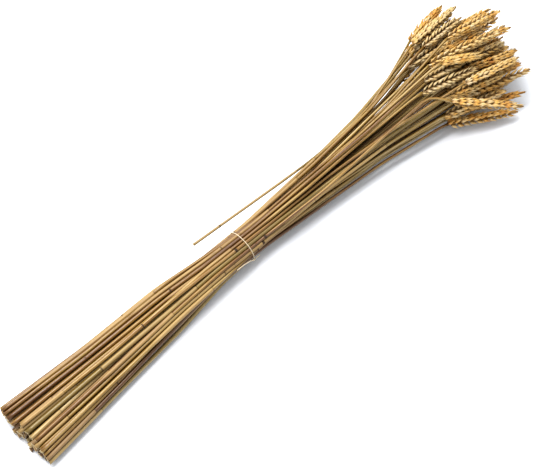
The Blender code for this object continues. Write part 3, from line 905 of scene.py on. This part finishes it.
class StrawLook(bpy.types.PropertyGroup):
    """Sizes and colours of the straws."""

    bare_share: FloatProperty(
        name="Bare share", description="A bare straw's thickness, of its node's", default=1.04
    )
    neck_share: FloatProperty(
        name="Neck share",
        description="A bare straw's thickness under the ear, of its node's",
        default=1.0,
    )
    sheath_share: FloatProperty(
        name="Sheath share", description="A sheathed straw's thickness, of its node's", default=1.10
    )
    shine: FloatProperty(
        name="Shine", description="How strongly the straws' skin reflects", default=0.85
    )
    joint_swell: FloatProperty(
        name="Joint swell", description="How much thicker a straw is at a joint", default=0.10
    )
    bark: colour_of("Bark", "The darkest straws", (0.082, 0.032, 0.004))
    brown: colour_of("Brown", "Brown straws", (0.144, 0.069, 0.010))
    gold: colour_of("Gold", "Golden straws", (0.248, 0.152, 0.029))
    tan: colour_of("Tan", "Tan straws", (0.302, 0.216, 0.073))
    pale: colour_of("Pale", "The palest straws", (0.455, 0.355, 0.200))
    olive: colour_of("Olive", "The greenest straws", (0.215, 0.165, 0.042))
    rust: colour_of("Rust", "The reddest straws", (0.225, 0.104, 0.032))
    sheath: colour_of("Sheath", "Leaf sheaths round a straw", (0.41, 0.290, 0.140))
    shade: colour_of("Shade", "Fine dark fibres", (0.095, 0.036, 0.005))
    joint: colour_of("Joint", "Joints and spots", (0.026, 0.010, 0.003))
    rim: colour_of("Rim", "The rim of a cut end", (0.74, 0.64, 0.44))
    # Painted shade: the near-black painted inside a cut end
    hollow: colour_of("Hollow", "Inside a cut end", (0.016, 0.008, 0.003))


class EarLook(bpy.types.PropertyGroup):
    """Sizes and colours of the ears."""

    spikelets_a_side: IntProperty(
        name="Spikelets a side", description="In each of an ear's two rows", default=10
    )
    husk_length: FloatProperty(
        name="Husk length", description="Of the largest husks", default=0.0104, unit="LENGTH"
    )
    husk_width: FloatProperty(
        name="Husk width",
        description="Scale of a husk's width and depth",
        default=0.0080,
        unit="LENGTH",
    )
    top_spikelet: FloatProperty(
        name="Top spikelet",
        description="How far the last spikelet stands out",
        default=0.0110,
        unit="LENGTH",
    )
    rachis_radius: FloatProperty(
        name="Rachis radius",
        description="Of the core that the spikelets sit on",
        default=0.0010,
        unit="LENGTH",
    )
    awn_length: FloatProperty(
        name="Awn length", description="The longest point on a husk", default=0.0080, unit="LENGTH"
    )
    grey_tip: FloatProperty(
        name="Grey tip", description="How much greyer an ear is at its tip", default=0.35
    )
    lean_deg: FloatProperty(
        name="Lean", description="How far spikelets lean out, in degrees", default=26.0
    )
    shine: FloatProperty(
        name="Shine", description="How strongly the husks' skin reflects", default=0.6
    )
    rust: colour_of("Rust", "The reddest husks", (0.25, 0.092, 0.016))
    amber: colour_of("Amber", "Amber husks", (0.45, 0.225, 0.042))
    gold: colour_of("Gold", "Golden husks", (0.51, 0.312, 0.086))
    beige: colour_of("Beige", "Beige husks", (0.50, 0.358, 0.168))
    cream: colour_of("Cream", "The palest husks and ribs", (0.50, 0.405, 0.258))
    grey: colour_of("Grey", "Weathered husks", (0.42, 0.325, 0.155))
    # Foot: the brown of a husk's point, and at its foot partly a browner base and partly painted
    # shade between the spikelets
    foot: colour_of("Foot", "The foot and the point of a husk", (0.120, 0.046, 0.007))


class StringLook(bpy.types.PropertyGroup):
    """Sizes and colours of the string."""

    radius: FloatProperty(
        name="Radius", description="Of the whole string", default=0.0006, unit="LENGTH"
    )
    lay: FloatProperty(
        name="Lay", description="Length of one twist", default=0.0028, unit="LENGTH"
    )
    colour: colour_of("Colour", "Clean cotton", (0.62, 0.55, 0.43))
    shade: colour_of("Shade", "Between the fibres", (0.50, 0.40, 0.28))


class StageLook(bpy.types.PropertyGroup):
    """The floor and the lights."""

    floor_size: FloatProperty(
        name="Floor size", description="Across the floor", default=12.0, unit="LENGTH"
    )
    floor: colour_of("Floor", "The floor's colour", (0.71, 0.73, 0.78))
    key: FloatProperty(
        name="Key light", description="Power of the main light", default=34.0, unit="POWER"
    )
    key_size: FloatProperty(
        name="Key size", description="Width of the main light", default=1.1, unit="LENGTH"
    )
    key_colour: colour_of("Key colour", "The main light's colour", (1.0, 0.985, 0.965))
    sky: FloatProperty(
        name="Sky", description="Strength of the light from all round", default=0.84
    )
    sky_colour: colour_of("Sky colour", "Colour of the light from all round", (0.93, 0.94, 0.93))


class WHEAT_OT_stage(bpy.types.Operator):
    """Adds the camera, the floor and the lights"""

    bl_idname = "wheat.stage"
    bl_label = "Stage"

    def execute(self, context):
        look = context.scene.wheat_stage
        aim = Vector(CAMERA_AIM)
        back = Vector(
            (
                math.sin(CAMERA_AZIMUTH) * math.cos(CAMERA_ELEVATION),
                -math.cos(CAMERA_AZIMUTH) * math.cos(CAMERA_ELEVATION),
                math.sin(CAMERA_ELEVATION),
            )
        )
        camera = bpy.data.objects.new("camera", bpy.data.cameras.new("camera"))
        camera.data.lens = CAMERA_LENS
        camera.location = aim + back * CAMERA_DISTANCE
        camera.rotation_euler = (-back).to_track_quat("-Z", "Y").to_euler()
        context.scene.collection.objects.link(camera)
        context.scene.camera = camera

        bm = bmesh.new()
        bmesh.ops.create_grid(bm, x_segments=1, y_segments=1, size=look.floor_size / 2)
        mesh = bpy.data.meshes.new("floor")
        bm.to_mesh(mesh)
        bm.free()
        paper = Shader("floor")
        paper.set("Base Color", rgba(look.floor))
        paper.set("Roughness", DULL_ROUGHNESS)
        mesh.materials.append(paper.material)
        floor = bpy.data.objects.new("floor", mesh)
        context.scene.collection.objects.link(floor)

        lamp = bpy.data.lights.new("key", "AREA")
        lamp.size = look.key_size
        lamp.energy = look.key
        lamp.color = look.key_colour
        key = bpy.data.objects.new("key", lamp)
        key.location = Vector(KEY_PLACE)
        key.rotation_euler = (aim - key.location).to_track_quat("-Z", "Y").to_euler()
        context.scene.collection.objects.link(key)

        world = bpy.data.worlds.new("sky")
        world.use_nodes = True
        background = world.node_tree.nodes["Background"].inputs
        background["Color"].default_value = rgba(look.sky_colour)
        background["Strength"].default_value = look.sky
        context.scene.world = world
        context.scene.view_settings.view_transform = "Standard"
        context.scene.view_settings.look = "High Contrast"
        return {"FINISHED"}


class WHEAT_OT_stalks(bpy.types.Operator):
    """Builds every stalk with its ear, on the course of its CAD node"""

    bl_idname = "wheat.stalks"
    bl_label = "Stalks and ears"

    def execute(self, context):
        straw_look, ear_look = context.scene.wheat_straw, context.scene.wheat_ear
        materials = [
            straw_material(straw_look),
            pith_material(straw_look),
            husk_material(ear_look),
        ]
        husk = husk_mesh()
        for number, name in enumerate(STALKS):
            rng = np.random.default_rng((SEED, number))
            course = measure(name)
            skin = Skin()
            straw_tones = [rng.uniform(*spread) for spread in STRAW_TONE_SPREAD]
            straw_tones = STRAW_TONES.get(name, straw_tones)
            ear_tones = [rng.uniform(*spread) for spread in EAR_TONE_SPREAD]
            ear_tones = EAR_TONES.get(name, ear_tones)
            build_straw(skin, course, rng, straw_tones, straw_look, name)
            straw_faces = len(skin.bm.faces)
            build_ear(skin, husk, course, rng, ear_tones, ear_look)
            skin.bm.faces.ensure_lookup_table()
            for face in skin.bm.faces[straw_faces:]:
                face.material_index = HUSK
            skin.finish(name.replace("stalk", "wheat"), "root", "straw", materials, name)
        bpy.data.meshes.remove(husk)
        return {"FINISHED"}


def string_ring():
    """The middle, slant and outer radius of the CAD ring, read where it has no knot and ends."""
    points, _ = node_skin(TIE)
    low, high = points.min(0), points.max(0)
    centre = (low + high) / 2
    clean = points[points[:, 1] > centre[1]]
    slope, centre[0] = np.polyfit(clean[:, 2] - centre[2], clean[:, 0], 1)
    return centre, slope, (high[2] - low[2]) / 2


def overhand(turn):
    """A place on an overhand knot, one turn long: across, round and out of the string's way."""
    return (
        math.sin(turn) + 2 * math.sin(2 * turn),
        math.cos(turn) - 2 * math.cos(2 * turn),
        -math.sin(3 * turn),
    )


class WHEAT_OT_string(bpy.types.Operator):
    """Builds the string with its knot and ends"""

    bl_idname = "wheat.string"
    bl_label = "String"

    def execute(self, context):
        look = context.scene.wheat_string
        centre, slope, outer = string_ring()
        radius = outer - look.radius

        def on_ring(along, angle, lift=0.0):
            """A place on the ring, moved along the bunch and lifted off it."""
            height = (radius + lift) * math.sin(angle)
            aside = (radius + lift) * math.cos(angle)
            onwards = centre[0] + along + slope * height
            return Vector((onwards, centre[1] + aside, centre[2] + height))

        skin = Skin()
        loop = [
            on_ring(0.0, KNOT_ANGLE + math.tau * step / LOOP_STEPS)
            for step in range(LOOP_STEPS + 1)
        ]
        twist_plies(skin, Track(loop), look)
        for route in (LONG_END, SHORT_END):
            alongs, turns = np.array(route).T
            bends = np.linspace(0, 1, len(route))
            points = []
            for share in np.linspace(0, 1, END_POINTS):
                along = float(np.interp(share, bends, alongs))
                turn = math.radians(float(np.interp(share, bends, turns)))
                points.append(on_ring(along, KNOT_ANGLE + turn, look.radius))
            twist_plies(skin, Track(points), look)

        middle = on_ring(0.0, KNOT_ANGLE, look.radius)
        outwards = (middle - Vector(centre)).normalized()
        across = Vector((1.0, 0.0, 0.0))
        axes = (across, outwards.cross(across), outwards)
        knot = []
        for turn in np.linspace(0, math.tau, KNOT_POINTS):
            place = middle.copy()
            for axis, reach, scale in zip(axes, overhand(turn), KNOT_SCALE):
                place += axis * reach * scale
            knot.append(place)
        twist_plies(skin, Track(knot), look)
        bmesh.ops.recalc_face_normals(skin.bm, faces=skin.bm.faces)
        skin.finish("string", "root", "string", [string_material(look)], TIE)
        return {"FINISHED"}


def twist_plies(skin, track, look):
    """Twists the string's plies round each other along a track."""
    corners = circle(look.radius * PLY_RADIUS, PLY_SIDES)
    off = look.radius * PLY_OFF
    rings = max(FEWEST_RINGS, int(track.length / look.lay * RINGS_A_TWIST))
    for ply in range(PLIES):
        ring, _, last = skin.start(PLY_SIDES)
        for place, at in enumerate(np.linspace(0, track.length, rings)):
            left, up = ring_axes(track.way(at), STRING_UP)
            turn = math.tau * (at / look.lay + ply / PLIES)
            middle = track.at(at) + left * off * math.cos(turn) + up * off * math.sin(turn)
            if place > 1:
                last = skin.extend(last)
            skin.ring(last.verts if place else ring, middle, (left, up), corners, at + ply)


class WHEAT_PT_panel(bpy.types.Panel):
    """Shows the settings and the buttons that build the pieces"""

    bl_idname = "WHEAT_PT_panel"
    bl_label = "Tied wheat bunch"
    bl_space_type = "VIEW_3D"
    bl_region_type = "UI"
    bl_category = "Wheat"

    def draw(self, context):
        for settings in ("wheat_straw", "wheat_ear", "wheat_string", "wheat_stage"):
            box = self.layout.box()
            group = getattr(context.scene, settings)
            for name in group.__annotations__:
                box.prop(group, name)
        for operator in STEPS:
            self.layout.operator(operator.bl_idname)


STEPS = (WHEAT_OT_stage, WHEAT_OT_stalks, WHEAT_OT_string)
LOOKS = {
    "wheat_straw": StrawLook,
    "wheat_ear": EarLook,
    "wheat_string": StringLook,
    "wheat_stage": StageLook,
}


def register():
    """Registers the settings, the operators and the panel."""
    for name, look in LOOKS.items():
        bpy.utils.register_class(look)
        setattr(bpy.types.Scene, name, PointerProperty(type=look))
    for made in (*STEPS, WHEAT_PT_panel):
        bpy.utils.register_class(made)


def unregister():
    """Takes them all away again."""
    for made in (WHEAT_PT_panel, *reversed(STEPS)):
        bpy.utils.unregister_class(made)
    for name, look in LOOKS.items():
        delattr(bpy.types.Scene, name)
        bpy.utils.unregister_class(look)


def main():
    """Builds the whole scene."""
    for old in [made for made in bpy.data.objects if made.name not in KEPT]:
        bpy.data.objects.remove(old)
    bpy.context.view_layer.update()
    register()
    bpy.ops.wheat.stage()
    bpy.ops.wheat.stalks()
    bpy.ops.wheat.string()


if __name__ == "__main__":
    main()
